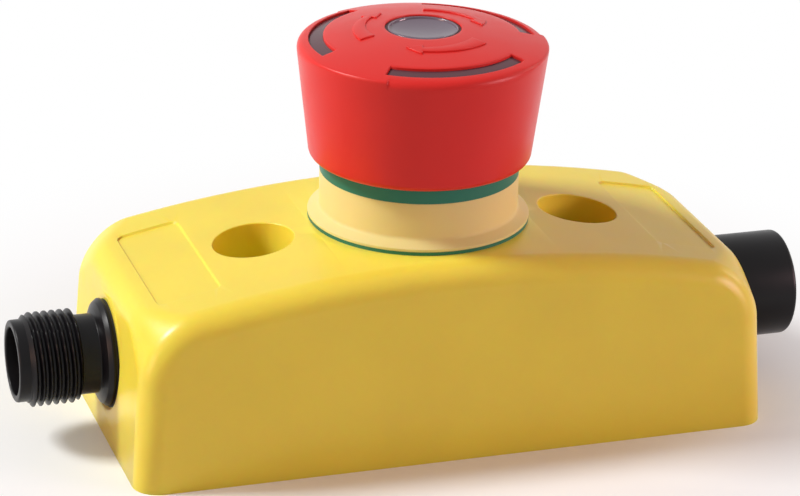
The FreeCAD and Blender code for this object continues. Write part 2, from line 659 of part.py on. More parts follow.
def make_socket_shell():
    """Black socket shell: fixing shank and a smooth coupling sleeve, open at its end."""
    tip = f"({CONNECTOR_BACK} + dim.socket_length)"
    floor = f"({tip} - dim.socket_depth)"
    radius = "dim.socket_radius"
    bore = "dim.socket_radius - dim.socket_wall"
    insert = "dim.socket_face"
    return turned_on_connector("socket_shell", [
        (SHANK_END, insert), (floor, insert), (floor, bore), (tip, bore),
        (tip, f"{radius} - dim.socket_round"), (f"({tip} - dim.socket_round)", radius),
        (CONNECTOR_BACK, radius), (CONNECTOR_BACK, "dim.shank_radius"), (SHANK_END, "dim.shank_radius"),
    ], {4: "dim.socket_round"})


def socket_face():
    """Place of the contact carrier's face inside the socket."""
    return f"({CONNECTOR_BACK} + dim.socket_length - dim.face_setback)"


def make_socket_insert():
    """Contact carrier of the socket, with a mouth over each contact."""
    radius = "dim.socket_face - dim.insert_gap"
    body = turned_on_connector("socket_insert", [
        (SHANK_END, "0"), (socket_face(), "0"), (socket_face(), radius), (SHANK_END, radius),
    ])
    drill_pins(body, "dim.contact_mouth")
    sketch = new_sketch(body, "YZ_Plane", f"{socket_face()} - dim.face_setback")
    for row, y, z in pin_places():
        add_circle(sketch, y, z, CONTACT_RADIUS)
    extrude(body, "Pocket", sketch, "dim.housing_length")
    return body


def make_socket_contacts():
    """Five gilt sleeves of the socket, with legs bent down to the board."""
    tip = f"({socket_face()} - dim.face_setback)"
    sleeves = []
    for row, y, z in pin_places():
        level = f"(dim.connector_height + {z})"
        pin = bent_pin(row, y, z, tip, 1)
        sleeve = rod(SHANK_END, y, level, CONTACT_RADIUS, f"{tip} - {SHANK_END}", "x")
        mouth = rod(f"{tip} - dim.pin_reach", y, level, "dim.contact_bore", "dim.socket_length", "x")
        sleeves.append(cut(fuse(pin, sleeve), mouth))
    return group("socket_contacts", sleeves)


def make_collar():
    """Pale collar: flange and flare on the roof, shank through it, stem guide inside."""
    edge = f"({GASKET_TOP} + dim.collar_edge)"
    cone = f"({edge} + dim.cone_rise)"
    web = f"({SPRING_SEAT} - dim.web_thickness)"
    seal_top = f"({SPRING_SEAT} - dim.seal_depth)"
    seal_foot = f"({seal_top} - dim.seal_height - 2 * dim.groove_gap)"
    seal = f"{SEAL_RADIUS} + dim.groove_gap"
    guide = f"({GUIDE_BORE} + dim.guide_wall)"
    shank_bore = f"({COLLAR_SHANK} - dim.collar_shank_wall)"
    wire = "(dim.detent_wire + dim.groove_gap)"
    groove = f"({GUIDE_BORE} + 2 * {wire})"
    bore = GUIDE_BORE
    corners = [
        (shank_bore, COLLAR_FOOT), (COLLAR_SHANK, COLLAR_FOOT),
        (COLLAR_SHANK, GASKET_TOP), (FLANGE_RADIUS, GASKET_TOP),
        (FLANGE_RADIUS, edge), (f"{FLANGE_RADIUS} - dim.cone_width", cone),
        ("dim.collar_radius", f"{cone} + dim.flare_rise"), ("dim.collar_radius", RING_SEAT),
        (RING_INNER, RING_SEAT), (RING_INNER, COLLAR_TOP),
        (CUP_RADIUS, COLLAR_TOP), (CUP_RADIUS, SPRING_SEAT),
        (bore, SPRING_SEAT), (bore, seal_top), (seal, seal_top), (seal, seal_foot), (bore, seal_foot),
        (bore, f"{DETENT} + {wire}"), (groove, f"{DETENT} + {wire}"),
        (groove, f"{DETENT} - {wire}"), (bore, f"{DETENT} - {wire}"),
        (bore, GUIDE_FOOT), (guide, GUIDE_FOOT), (guide, web),
        (shank_bore, web),
    ]
    return turned("collar", corners, {5: "-dim.flare_radius"})


def make_ring(label, inner, outer, foot, top):
    """Plain ring."""
    return turned(label, [(inner, foot), (outer, foot), (outer, top), (inner, top)])


def make_collar_nut():
    """Hexagonal nut that clamps the collar under the roof."""
    top = "(dim.housing_height - dim.seat_thickness)"
    body = new_body("collar_nut")
    sketch = new_sketch(body, "XY_Plane", f"{top} - dim.collar_nut_thickness")
    add_hexagon(sketch, f"({COLLAR_SHANK} + dim.collar_nut_wall)")
    add_circle(sketch, "0", "0", COLLAR_SHANK)
    extrude(body, "Pad", sketch, "dim.collar_nut_thickness")
    return body


def make_stem_seal():
    """Rubber lip seal in the collar, round the stem."""
    top = f"({SPRING_SEAT} - dim.seal_depth - dim.groove_gap)"
    foot = f"({top} - dim.seal_height)"
    middle = f"({top} - dim.seal_height / 2)"
    lip = "(dim.seal_height / 4)"
    return turned("stem_seal", [
        (GUIDE_BORE, f"{middle} - {lip} / 2"), (f"{GUIDE_BORE} + {lip}", foot),
        (SEAL_RADIUS, foot), (SEAL_RADIUS, top),
        (f"{GUIDE_BORE} + {lip}", top), (GUIDE_BORE, f"{middle} + {lip} / 2"),
    ])


def make_detent_ring():
    """Split spring ring of flat-sided wire in the collar, that clicks into the stem's grooves."""
    inner = GUIDE_BORE
    outer = f"({GUIDE_BORE} + 2 * dim.detent_wire)"
    nose = "(dim.detent_wire / 2)"
    body = new_body("detent_ring")
    sketch = new_sketch(body, "XZ_Plane")
    add_loop(sketch, [
        (inner, f"{DETENT} - {nose}"), (f"{inner} + {nose}", f"{DETENT} - dim.detent_wire"),
        (outer, f"{DETENT} - dim.detent_wire"), (outer, f"{DETENT} + dim.detent_wire"),
        (f"{inner} + {nose}", f"{DETENT} + dim.detent_wire"), (inner, f"{DETENT} + {nose}"),
    ])
    spin(body, "Revolution", sketch, angle="dim.detent_sweep")
    return body


def make_plunger_stem():
    """Hollow stem: spring flange, journal for the button's hub, clip groove and two detents."""
    foot = f"({CARRIER_BASE} + dim.slot_floor)"
    stem = "dim.stem_radius"
    deep = "(dim.stem_radius - dim.detent_depth)"
    bore = "(dim.pipe_radius + dim.pipe_gap)"
    clip = f"({JOURNAL} - dim.clip_depth)"
    clip_top = f"({CLIP_BASE} + dim.clip_thickness + dim.running_gap)"
    flange = f"({CUP_RADIUS} - dim.cup_gap)"
    corners = [(bore, foot), (stem, foot)]
    for place in (DETENT, f"({DETENT} + dim.travel)"):
        corners += [
            (stem, f"{place} - dim.detent_wire"), (deep, f"{place} - dim.detent_wire / 2"),
            (deep, f"{place} + dim.detent_wire / 2"), (stem, f"{place} + dim.detent_wire"),
        ]
    corners += [
        (stem, STEM_FLANGE), (flange, STEM_FLANGE),
        (flange, STEM_SHOULDER), (JOURNAL, STEM_SHOULDER),
        (JOURNAL, CLIP_BASE), (clip, CLIP_BASE), (clip, clip_top),
        (JOURNAL, clip_top), (JOURNAL, STEM_TOP), (bore, STEM_TOP),
    ]
    return turned("plunger_stem", corners)


def make_light_pipe():
    """Clear rod in the stem that carries the lamp's light up to the button."""
    foot = f"({LAMP_TOP} + dim.travel + dim.carrier_clearance)"
    return turned("light_pipe", [
        ("0", foot), ("dim.pipe_radius", foot), ("dim.pipe_radius", f"{STEM_TOP} - dim.pipe_bevel"),
        ("dim.pipe_radius - dim.pipe_bevel", STEM_TOP), ("0", STEM_TOP),
    ])


def make_stem_clip():
    """Spring clip that keeps the hub on the stem."""
    inner = f"({JOURNAL} - dim.clip_depth)"
    top = f"{CLIP_BASE} + dim.clip_thickness"
    return make_ring("stem_clip", inner, f"{inner} + dim.clip_width", CLIP_BASE, top)


def make_return_spring():
    """Coil spring between the collar and the stem's flange."""
    wire = number("dim.spring_wire")
    turns = number("dim.spring_turns")
    foot = number(SPRING_SEAT) + wire
    pitch = (number("dim.spring_length") - 2 * wire) / turns
    radius = number(f"{CUP_RADIUS} - dim.spring_inset")
    return spring("return_spring", [coil_shape(radius, wire, turns, pitch, foot)])


def make_contact_block():
    """Switch block under the collar, hollow for the contact carrier, grooved for its contacts."""
    body = new_body("contact_block")
    end = "(dim.block_length / 2)"
    side = "(dim.block_width / 2)"
    sketch = new_sketch(body, "XY_Plane", BOARD_TOP)
    add_rectangle(sketch, f"-{end}", f"-{side}", end, side)
    extrude(body, "Pad", sketch, f"{COLLAR_FOOT} - {BOARD_TOP}")
    sketch = new_sketch(body, "XY_Plane", f"{CARRIER_TOP} + dim.stop_gap")
    add_rectangle(sketch, f"-{BLOCK_END}", f"-{BLOCK_SIDE}", BLOCK_END, BLOCK_SIDE)
    extrude(body, "Pocket", sketch, "dim.housing_height")
    sketch = new_sketch(body, "XY_Plane")
    add_circle(sketch, "0", "0", "dim.stem_radius + dim.block_gap")
    extrude(body, "Pocket", sketch, "2 * dim.housing_height", backwards=True)
    sketch = new_sketch(body, "XY_Plane", f"{CONTACT_BASE} + dim.bar_thickness")
    groove_end = f"({BLOCK_END} + dim.block_wall / 2)"
    for sign in ("", "-"):
        middle = f"{sign}{SLOT}"
        low = f"({middle} - dim.bar_width / 2)"
        high = f"({middle} + dim.bar_width / 2)"
        add_rectangle(sketch, f"-{groove_end}", low, groove_end, high)
    extrude(body, "Pocket", sketch, "dim.housing_height")
    return body


def make_fixed_contacts():
    """Four fixed contacts in the block's grooves, each with a leg down to the board."""
    wall = f"({BLOCK_END} + dim.block_wall / 2)"
    tip = f"({BAR_END} - dim.contact_lap)"
    leg = "dim.bar_thickness"
    pieces = []
    for sign_x in (1, -1):
        for sign_y in ("", "-"):
            low_y = f"{sign_y}{SLOT} - dim.bar_width / 2"
            arm_x = tip if sign_x > 0 else f"-{wall}"
            leg_x = f"{wall} - {leg}" if sign_x > 0 else f"-{wall}"
            arm = box(arm_x, low_y, CONTACT_BASE,
                      f"{wall} - {tip}", "dim.bar_width", "dim.bar_thickness")
            post = box(leg_x, low_y, BOARD_TOP, leg, "dim.bar_width", f"{CONTACT_BASE} - {BOARD_TOP}")
            pieces.append(fuse(arm, post))
    return group("fixed_contacts", pieces)


def make_contact_carrier():
    """Carrier on the stem's foot, with a window for each moving contact."""
    body = new_body("contact_carrier")
    end = "(dim.carrier_length / 2)"
    sketch = new_sketch(body, "XY_Plane", CARRIER_BASE)
    add_rectangle(sketch, f"-{end}", f"-{CARRIER_SIDE}", end, CARRIER_SIDE)
    extrude(body, "Pad", sketch, "dim.carrier_height")
    sketch = new_sketch(body, "YZ_Plane")
    low = f"({CARRIER_BASE} + dim.slot_floor)"
    for sign in ("", "-"):
        near = f"({sign}{SLOT} - dim.bar_width / 2 - dim.slot_gap)"
        far = f"({sign}{SLOT} + dim.bar_width / 2 + dim.slot_gap)"
        add_rectangle(sketch, near, low, far, f"{low} + dim.slot_height")
    extrude(body, "Pocket", sketch, "2 * dim.carrier_length", "Symmetric")
    for foot, radius in ((low, "dim.stem_radius"), (CARRIER_BASE, "dim.pipe_radius + dim.board_gap")):
        sketch = new_sketch(body, "XY_Plane", foot)
        add_circle(sketch, "0", "0", radius)
        extrude(body, "Pocket", sketch, "dim.housing_height", backwards=True)
    return body


def make_contact_bridges():
    """Two moving contact bars in the carrier's windows."""
    bars = []
    for sign in ("", "-"):
        low_y = f"{sign}{SLOT} - dim.bar_width / 2"
        bars.append(box(f"-{BAR_END}", low_y, BAR_BASE,
                        f"2 * {BAR_END}", "dim.bar_width", "dim.bar_thickness"))
    return group("contact_bridges", bars)


def make_bridge_springs():
    """Two small coil springs that press the moving contacts up."""
    wire = number("dim.bar_spring_wire")
    turns = number("dim.bar_spring_turns")
    foot = number(f"{CARRIER_BASE} + dim.slot_floor") + wire
    pitch = (number("dim.bar_spring_length") - 2 * wire) / turns
    coils = []
    for sign in (1, -1):
        coil = coil_shape(number("dim.bar_spring_radius"), wire, turns, pitch, foot)
        coil.translate(FreeCAD.Vector(0, sign * number(SLOT), 0))
        coils.append(coil)
    return spring("bridge_springs", coils)


def make_button_cap():
    """Red mushroom cap: rounded skirt, flaring side, domed top with three curved window slots."""
    skirt = f"({CAP_BASE} + dim.skirt_round)"
    rim = f"({CAP_BASE} + dim.rim_height)"
    chamber = f"({GUIDE_PLATE} + dim.mould_gap)"
    edge = f"({RIM} - dim.rim_land)"
    body = turned("button_cap", [
        (CAP_BORE, CAP_BASE), (f"{CAP_BORE} + dim.skirt_land", CAP_BASE),
        (SKIRT, skirt), (RIM, rim), (edge, dome(edge)),
        (LENS_HOLE, dome(LENS_HOLE)), (LENS_HOLE, f"{GUIDE_PLATE_TOP} + dim.mould_gap"),
        (chamber, f"{GUIDE_PLATE_TOP} + dim.mould_gap"), (chamber, HUB_TOP), (CAP_BORE, HUB_TOP),
    ], {1: "dim.skirt_round", 3: "dim.rim_round", 4: "dim.dome_radius"})
    sketch = new_sketch(body, "XZ_Plane")
    add_rectangle(sketch, WINDOW_INNER, HUB_TOP, WINDOW_OUTER, CAP_TOP)
    slot = spin(body, "Groove", sketch, angle="dim.window_span")
    repeat_windows(body, slot)
    body.setExpression("Placement.Rotation.Angle", "dim.window_start")
    return body


def repeat_windows(body, item):
    """Repeat a window three times round the cap."""
    pattern = body.newObject("PartDesign::PolarPattern", "Pattern")
    pattern.Originals = [item]
    pattern.Axis = (origin_item(body, "Z_Axis"), [""])
    pattern.Angle = 360
    pattern.Occurrences = 3
    body.Tip = pattern


def make_window_ring():
    """Translucent light guide: plate in the cap, three curved windows and the lens post."""
    post_top = f"({dome('dim.lens_radius')} - dim.lens_setback - dim.lens_height - dim.mould_gap)"
    plate = f"({HUB_TOP} + dim.mould_gap)"
    inner = f"({WINDOW_INNER} + dim.window_gap)"
    outer = f"({GUIDE_PLATE} - dim.window_gap)"
    post = "(dim.lens_radius - dim.post_step)"
    body = turned("window_ring", [
        ("0", plate), (GUIDE_PLATE, plate), (GUIDE_PLATE, GUIDE_PLATE_TOP),
        (post, GUIDE_PLATE_TOP), (post, post_top), ("0", post_top),
    ])
    sketch = new_sketch(body, "XZ_Plane")
    add_loop(sketch, [
        (inner, plate), (outer, plate), (outer, dome(outer, "dim.window_depth")),
        (inner, dome(inner, "dim.window_depth")),
    ])
    window = spin(body, "Revolution", sketch, angle="dim.window_span - 2 * dim.window_slack")
    repeat_windows(body, window)
    body.setExpression("Placement.Rotation.Angle", "dim.window_start + dim.window_slack")
    return body


def make_center_lens():
    """Round lens in the middle of the cap, with a shallow dished face."""
    edge = f"({dome('dim.lens_radius')} - dim.lens_setback)"
    foot = f"({edge} - dim.lens_height)"
    dish = "((dim.lens_radius^2 + dim.lens_dish^2) / (2 * dim.lens_dish))"
    return turned("center_lens", [
        ("0", foot), ("dim.lens_radius", foot), ("dim.lens_radius", edge), ("0", f"{edge} - dim.lens_dish"),
    ], {2: f"-{dish}"})


def make_lens_seal():
    """Thin dark seal round the lens."""
    inner = "(dim.lens_radius + dim.window_gap)"
    outer = f"({inner} + dim.lens_seal)"
    top = f"({dome('dim.lens_radius')} - 2 * dim.lens_setback)"
    return make_ring("lens_seal", inner, outer, f"{GUIDE_PLATE_TOP} + dim.mould_gap", top)


def make_head_hub():
    """Hub that closes the cap from below and turns on the stem's journal."""
    bore = HUB_BORE
    rim = f"({CAP_BORE} - dim.mould_gap)"
    recess = f"({HUB_BASE} + dim.hub_spring_depth)"
    plate = f"({HUB_BASE} + dim.hub_plate)"
    wall = f"({rim} - dim.hub_wall)"
    return turned("head_hub", [
        (bore, HUB_BASE), (TWIST_INNER, HUB_BASE), (TWIST_INNER, recess),
        (TWIST_OUTER, recess), (TWIST_OUTER, HUB_BASE), (rim, HUB_BASE),
        (rim, HUB_TOP), (wall, HUB_TOP), (wall, plate), (bore, plate),
    ])


def make_twist_spring():
    """Torsion spring in the hub that turns the button back after release."""
    wire = number("dim.twist_wire")
    turns = number("dim.twist_turns")
    pitch = number("dim.twist_pitch")
    foot = number(HUB_BASE) + wire
    radius = number(f"({TWIST_INNER} + {TWIST_OUTER}) / 2")
    return spring("twist_spring", [coil_shape(radius, wire, turns, pitch, foot)])


pieces = [
    make_housing_shell(), make_base_cover(), make_circuit_board(), make_status_lamp(),
    make_plug_shell(), make_plug_insert(), make_plug_pins(),
    make_connector_seal("plug_seal", "-"), make_connector_nut("plug_nut", "-"),
    make_socket_shell(), make_socket_insert(), make_socket_contacts(),
    make_connector_seal("socket_seal", ""), make_connector_nut("socket_nut", ""),
    make_collar(),
    make_ring("collar_gasket", f"{COLLAR_SHANK} + dim.panel_gap", FLANGE_RADIUS,
              "dim.housing_height", GASKET_TOP),
    make_collar_nut(),
    make_ring("indicator_ring", f"{RING_INNER} + dim.ring_gap", "dim.collar_radius",
              RING_SEAT, f"{RING_SEAT} + dim.ring_height"),
    make_stem_seal(), make_detent_ring(),
    make_plunger_stem(), make_light_pipe(), make_stem_clip(), make_return_spring(),
    make_contact_block(), make_fixed_contacts(), make_contact_carrier(),
    make_contact_bridges(), make_bridge_springs(),
    make_button_cap(), make_window_ring(), make_center_lens(), make_lens_seal(),
    make_head_hub(), make_twist_spring(),
]
doc.recompute()

failed = [item.Label for item in doc.Objects if {"Invalid", "Error"} & set(item.State)]
failed += [piece.Label for piece in pieces if piece.Shape.isNull() or not piece.Shape.isValid()]
if failed:
    raise RuntimeError("could not be built: " + ", ".join(failed))
os.makedirs("parts", exist_ok=True)
for piece in pieces:
    piece.Shape.exportStep(f"parts/{piece.Label}.step")
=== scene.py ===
"""Emergency stop push button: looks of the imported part, in the order in which it is put together."""
import math
import bmesh
import bpy
import numpy as np
from mathutils import Matrix, Vector


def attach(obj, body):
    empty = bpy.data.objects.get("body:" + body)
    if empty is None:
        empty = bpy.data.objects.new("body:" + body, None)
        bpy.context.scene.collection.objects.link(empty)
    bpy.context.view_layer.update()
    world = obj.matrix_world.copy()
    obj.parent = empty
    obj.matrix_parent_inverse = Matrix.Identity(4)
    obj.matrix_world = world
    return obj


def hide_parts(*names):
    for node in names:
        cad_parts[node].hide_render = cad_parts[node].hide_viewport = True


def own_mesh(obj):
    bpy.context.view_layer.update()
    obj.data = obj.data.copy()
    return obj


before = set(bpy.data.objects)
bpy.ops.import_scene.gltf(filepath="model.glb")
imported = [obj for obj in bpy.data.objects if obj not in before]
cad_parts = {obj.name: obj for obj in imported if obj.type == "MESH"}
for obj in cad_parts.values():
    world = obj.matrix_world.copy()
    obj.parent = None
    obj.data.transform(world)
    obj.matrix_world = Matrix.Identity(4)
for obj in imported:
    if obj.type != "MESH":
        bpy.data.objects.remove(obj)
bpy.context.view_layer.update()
MM = 0.001

# Housing: one yellow injection moulding with a crowned roof, closed below by a clipped-in cover.
# Satin polyamide with a fine spark-eroded grain; the rims of the roof's holes and label recesses and every
# sharp edge of the cover are slightly rounded.
YELLOW = (0.93, 0.80, 0.082)
ROOF_FOOT = 19.0
COLLAR_SEAT = 15.5
ROOF_ROUND = 0.16
COVER_ROUND = 0.15
MERGE = 0.002 * MM
SHARP = math.radians(35)
NORMAL_WEIGHT = 80
COLOUR_SPOT = 12
GLOSS_SPOT = 3
GLOSS_SWING = 0.03
NOISE_LOW, NOISE_HIGH = 0.3, 0.7
GRAIN_STRENGTH = 0.5


def link(nodes, source, socket, target, name):
    """Join an output of one shader node to an input of another."""
    nodes.id_data.links.new(source.outputs[socket], target.inputs[name])


def surface_noise(nodes, size, detail):
    """Noise on the piece's own coordinates with spots of a size in millimetres."""
    place = nodes.new("ShaderNodeTexCoord")
    noise = nodes.new("ShaderNodeTexNoise")
    noise.inputs["Scale"].default_value = 1 / (size * MM)
    noise.inputs["Detail"].default_value = detail
    link(nodes, place, "Object", noise, "Vector")
    return noise


def moulded_finish(name, colour, roughness, grain, depth, mottle=0.03, mirror=0.3):
    """Moulded plastic: the colour and the gloss drift in spots, and a fine grain lifts the surface."""
    finish = bpy.data.materials.new(name)
    finish.use_nodes = True
    nodes = finish.node_tree.nodes
    shader = nodes["Principled BSDF"]
    drift = nodes.new("ShaderNodeValToRGB")
    for stop, level in zip(drift.color_ramp.elements, (1 - mottle, 1 + mottle)):
        stop.color = (*[min(1, part * level) for part in colour], 1)
    drift.color_ramp.elements[0].position = NOISE_LOW
    drift.color_ramp.elements[1].position = NOISE_HIGH
    link(nodes, surface_noise(nodes, COLOUR_SPOT, detail=3), "Fac", drift, "Fac")
    link(nodes, drift, "Color", shader, "Base Color")
    gloss = nodes.new("ShaderNodeMapRange")
    gloss.inputs["From Min"].default_value = NOISE_LOW
    gloss.inputs["From Max"].default_value = NOISE_HIGH
    gloss.inputs["To Min"].default_value = roughness - GLOSS_SWING
    gloss.inputs["To Max"].default_value = roughness + GLOSS_SWING
    link(nodes, surface_noise(nodes, GLOSS_SPOT, detail=4), "Fac", gloss, "Value")
    link(nodes, gloss, "Result", shader, "Roughness")
    shader.inputs["Specular IOR Level"].default_value = mirror
    relief = nodes.new("ShaderNodeBump")
    relief.inputs["Strength"].default_value = GRAIN_STRENGTH
    relief.inputs["Distance"].default_value = depth * MM
    link(nodes, surface_noise(nodes, grain, detail=2), "Fac", relief, "Height")
    link(nodes, relief, "Normal", shader, "Normal")
    return finish


def glow(finish, weight, reach):
    """Let light wander under the surface, as far as a reach in millimetres for red, green and blue."""
    shader = finish.node_tree.nodes["Principled BSDF"]
    shader.inputs["Subsurface Weight"].default_value = weight
    shader.inputs["Subsurface Radius"].default_value = reach
    shader.inputs["Subsurface Scale"].default_value = MM


def dress(node, finish):
    """Give a CAD node its finish."""
    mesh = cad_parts[node].data
    mesh.materials.clear()
    mesh.materials.append(finish)


def soften(piece, width, steps=3, clamp=True):
    """Round every edge sharper than 35 degrees by a width in millimetres."""
    weld = piece.modifiers.new("weld", "WELD")
    weld.merge_threshold = MERGE
    bevel = piece.modifiers.new("edge_round", "BEVEL")
    bevel.limit_method = "ANGLE"
    bevel.angle_limit = SHARP
    bevel.width = width * MM
    bevel.segments = steps
    bevel.miter_outer = "MITER_ARC"
    bevel.loop_slide = False
    bevel.use_clamp_overlap = clamp
    normals = piece.modifiers.new("normals", "WEIGHTED_NORMAL")
    normals.weight = NORMAL_WEIGHT


def put_in_place(name, shape, finish, body, nodes, crease=35):
    """Turn a finished shape into a smooth-shaded piece that rides on a body and stands for CAD nodes."""
    mesh = bpy.data.meshes.new(name)
    shape.to_mesh(mesh)
    shape.free()
    mesh.polygons.foreach_set("use_smooth", np.ones(len(mesh.polygons), bool))
    mesh.set_sharp_from_angle(angle=math.radians(crease))
    mesh.materials.clear()
    mesh.materials.append(finish)
    piece = bpy.data.objects.new(name, mesh)
    bpy.context.scene.collection.objects.link(piece)
    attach(piece, body)
    if nodes:
        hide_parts(*nodes)
    return piece


def roof_edges(shape):
    """Edges of the hole rims and label recesses: sharp, high, off the collar, by a face that looks up."""
    return [edge for edge in shape.edges if edge.calc_face_angle(0) > SHARP
            and min(vert.co.z for vert in edge.verts) > ROOF_FOOT * MM
            and min(math.hypot(vert.co.x, vert.co.y) for vert in edge.verts) > COLLAR_SEAT * MM
            and max(face.normal.z for face in edge.link_faces) > 0.5]


yellow = moulded_finish("yellow_polyamide", YELLOW, roughness=0.32, grain=0.22, depth=0.006, mirror=0.42)
glow(yellow, weight=0.3, reach=(2.4, 0.7, 0.1))
shape = bmesh.new()
shape.from_mesh(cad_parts["housing_shell"].data)
bmesh.ops.remove_doubles(shape, verts=shape.verts, dist=MERGE)
bmesh.ops.bevel(shape, geom=roof_edges(shape), offset=ROOF_ROUND * MM, segments=3, profile=0.5,
                affect="EDGES", clamp_overlap=False, miter_outer="ARC")
moulding = put_in_place("housing_moulding", shape, yellow, "housing", ["housing_shell"])
moulding.modifiers.new("normals", "WEIGHTED_NORMAL").weight = NORMAL_WEIGHT
dress("base_cover", yellow)
soften(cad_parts["base_cover"], COVER_ROUND)

# Circuit board on the cover's pegs, with the status lamp in its middle.
# Green glass-fibre laminate and a moulded lamp body, both hidden once the cover is on.
BOARD_GREEN = (0.02, 0.13, 0.06)
laminate = moulded_finish("board_laminate", BOARD_GREEN, roughness=0.45, grain=0.35, depth=0.01, mottle=0.12)
dress("circuit_board", laminate)
lamp_white = moulded_finish("lamp_white", (0.82, 0.82, 0.78), roughness=0.3, grain=0.2, depth=0.003)
dress("status_lamp", lamp_white)

# Plug: black coupling sleeve with a rolled M12 x 1 thread, clamped in the end wall by a nut from inside.
# Glass-filled polyamide, matt in the thread's roots; five gilt pins stand in a moulded carrier.
BLACK = (0.004, 0.0035, 0.0045)
CONNECTOR_HEIGHT = 11.0
SLEEVE_STEPS = 192
ARC_STEPS = 5
PITCH = 1.0
THREAD_DEPTH = 0.54
THREAD_STEPS = 24
GROOVE_HALF = 0.4375
GROOVE_FLANK = 0.3125
GROOVE_ROUND = 0.4
SHANK_END, SHANK_RADIUS = 34.1, 5.4
FLANGE_BACK, FLANGE_RADIUS = 41.5, 6.9
NECK_RADIUS = 5.1
THREAD_FOOT, THREAD_TOP = 45.3, 52.0
THREAD_RADIUS = 6.0
RUN_IN, RUN_IN_SLOPE = 5.2, 2.2
LEAD_RADIUS, LEAD_SLOPE = 5.25, 1.3
PLUG_TIP, PLUG_BORE = 53.4, 4.35


def rounded_loop(corners, steps=ARC_STEPS):
    """Points along a closed path of (along, radius, round) corners, with a tangent arc at each corner."""
    corner = np.array(corners, float)
    place, size = corner[:, :2], corner[:, 2:]
    back = np.roll(place, 1, axis=0) - place
    on = np.roll(place, -1, axis=0) - place
    back /= np.linalg.norm(back, axis=1, keepdims=True)
    on /= np.linalg.norm(on, axis=1, keepdims=True)
    half = np.arccos(np.clip((back * on).sum(axis=1, keepdims=True), -1, 1)) / 2
    reach = size / np.tan(half)
    start, end = place + back * reach, place + on * reach
    share = np.linspace(0, 1, steps)[None, :, None]
    bend = place[:, None] * 2 * share * (1 - share)
    arc = start[:, None] * (1 - share) ** 2 + bend + end[:, None] * share ** 2
    return arc.reshape(-1, 2)


def thread_groove(along, turn):
    """Depth, from 0 to 1, of a 60 degree thread groove whose middle climbs one pitch for each turn."""
    phase = (along / PITCH - turn / (2 * np.pi)) % 1
    from_middle = np.abs(phase - 0.5) * PITCH
    flank = np.clip((GROOVE_HALF * PITCH - from_middle) / (GROOVE_FLANK * PITCH), 0, 1)
    return flank * flank * (3 - 2 * flank) * GROOVE_ROUND + flank * (1 - GROOVE_ROUND)


def sleeve(along, radius, turn, side):
    """Grid of points round a connector's axis: side -1 is the plug's end, 1 the socket's."""
    across = radius * np.cos(turn)
    rise = CONNECTOR_HEIGHT + side * radius * np.sin(turn)
    return np.stack([side * along + 0 * across, across, rise], axis=-1)


def make_piece(name, patches, finish, body, nodes, crease=35):
    """Join grids of points in millimetres into one mesh: points that meet merge, and faces turn outwards."""
    faces = []
    start = 0
    for patch in patches:
        rows, columns = patch.shape[:2]
        number = start + np.arange(rows * columns).reshape(rows, columns)
        corner = [number[:-1, :-1], number[1:, :-1], number[1:, 1:], number[:-1, 1:]]
        faces.append(np.stack(corner, axis=-1).reshape(-1, 4))
        start += rows * columns
    points = np.concatenate([patch.reshape(-1, 3) for patch in patches]) * MM
    grid = bpy.data.meshes.new(name + "_grid")
    grid.from_pydata(points.tolist(), [], np.concatenate(faces).tolist())
    shape = bmesh.new()
    shape.from_mesh(grid)
    bpy.data.meshes.remove(grid)
    bmesh.ops.remove_doubles(shape, verts=shape.verts, dist=MERGE)
    bmesh.ops.recalc_face_normals(shape, faces=shape.faces)
    return put_in_place(name, shape, finish, body, nodes, crease)


turn = np.linspace(0, 2 * np.pi, SLEEVE_STEPS + 1)[None]


def turned(loop, side):
    """Grid of points for a loop of (along, radius) points carried round a connector's axis."""
    return sleeve(loop[:, :1], loop[:, 1:] + 0 * turn, turn, side)


black = moulded_finish(
    "black_polyamide", BLACK, roughness=0.33, grain=0.18, depth=0.006, mottle=0.08, mirror=0.22)
plug_corners = [
    (SHANK_END, PLUG_BORE, 0.1), (SHANK_END, SHANK_RADIUS, 0.3), (FLANGE_BACK, SHANK_RADIUS, 0),
    (FLANGE_BACK, FLANGE_RADIUS, 0.1), (41.85, FLANGE_RADIUS, 0.2), (42.4, 6.45, 0.35), (42.75, 5.7, 0.2),
    (42.95, NECK_RADIUS, 0.15), (THREAD_FOOT, NECK_RADIUS, 0.03), (THREAD_FOOT, RUN_IN, 0),
    (THREAD_TOP, LEAD_RADIUS, 0), (PLUG_TIP, LEAD_RADIUS, 0.3), (PLUG_TIP, PLUG_BORE, 0.2),
]
BEFORE_THREAD = 10 * ARC_STEPS
loop = rounded_loop(plug_corners)
back, front = loop[:BEFORE_THREAD], np.concatenate([loop[BEFORE_THREAD:], loop[:1]])
thread_rows = int((THREAD_TOP - THREAD_FOOT) / PITCH * THREAD_STEPS) + 1
rows = np.linspace(THREAD_FOOT, THREAD_TOP, thread_rows)[:, None]
crest = THREAD_RADIUS - THREAD_DEPTH * thread_groove(rows, turn)
crest = np.minimum(crest, LEAD_RADIUS + (THREAD_TOP - rows) * LEAD_SLOPE)
crest = np.minimum(crest, RUN_IN + (rows - THREAD_FOOT) * RUN_IN_SLOPE)
patches = [turned(back, -1), sleeve(rows, crest, turn, -1), turned(front, -1)]
make_piece("plug_sleeve", patches, black, "housing", ["plug_shell"], 30)
CARRIER_BLACK = (0.03, 0.03, 0.032)
carrier_black = moulded_finish(
    "carrier_black", CARRIER_BLACK, roughness=0.55, grain=0.15, depth=0.004, mottle=0.08)
dress("plug_insert", carrier_black)
soften(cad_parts["plug_insert"], width=0.12, steps=2)


def metal_finish(name, colour, roughness, scratch):
    """Plated metal: fully metallic, with fine scratches that vary the gloss and lift the surface."""
    finish = moulded_finish(name, colour, roughness, scratch, depth=0.002, mottle=0.06)
    finish.node_tree.nodes["Principled BSDF"].inputs["Metallic"].default_value = 1.0
    return finish


